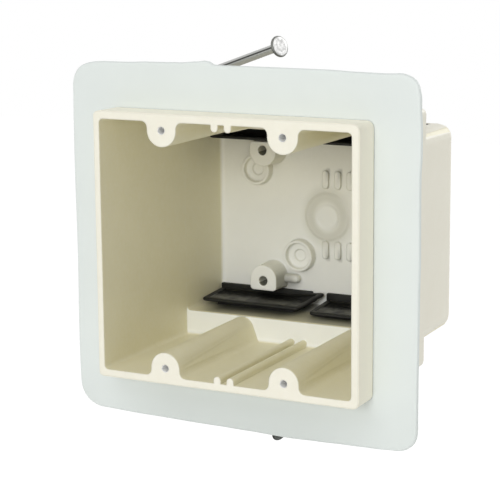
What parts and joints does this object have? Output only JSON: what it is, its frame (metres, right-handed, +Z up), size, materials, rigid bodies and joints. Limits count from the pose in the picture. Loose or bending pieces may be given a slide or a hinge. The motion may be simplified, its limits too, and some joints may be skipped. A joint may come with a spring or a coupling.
{
  "type": "new work outlet box",
  "caption": "Two-gang new-work electrical outlet box with a sealing flange, rubber cable clamps and captive nails for a wall stud.",
  "frame": {"origin": "centre of the box's flat back face", "axes": "+X to the right as the opening is seen, +Y into the wall, +Z up; the opening faces -Y and the stud stands on the -X side"},
  "size_m": [0.1338, 0.0889, 0.145],
  "materials": {
    "box_moulding": "satin cream moulding of filled polyester",
    "flange_vinyl": "soft pale matt vinyl",
    "clamp_rubber": "black moulded rubber with a dull sheen",
    "nail_steel": "bright drawn wire"
  },
  "bodies": {
    "root": {"box_body": "box_moulding", "seal_flange": "flange_vinyl", "clamp_upper_left": "clamp_rubber", "clamp_upper_right": "clamp_rubber", "clamp_lower_left": "clamp_rubber", "clamp_lower_right": "clamp_rubber", "nail_upper": "nail_steel", "nail_lower": "nail_steel"}
  },
  "joints": []
}
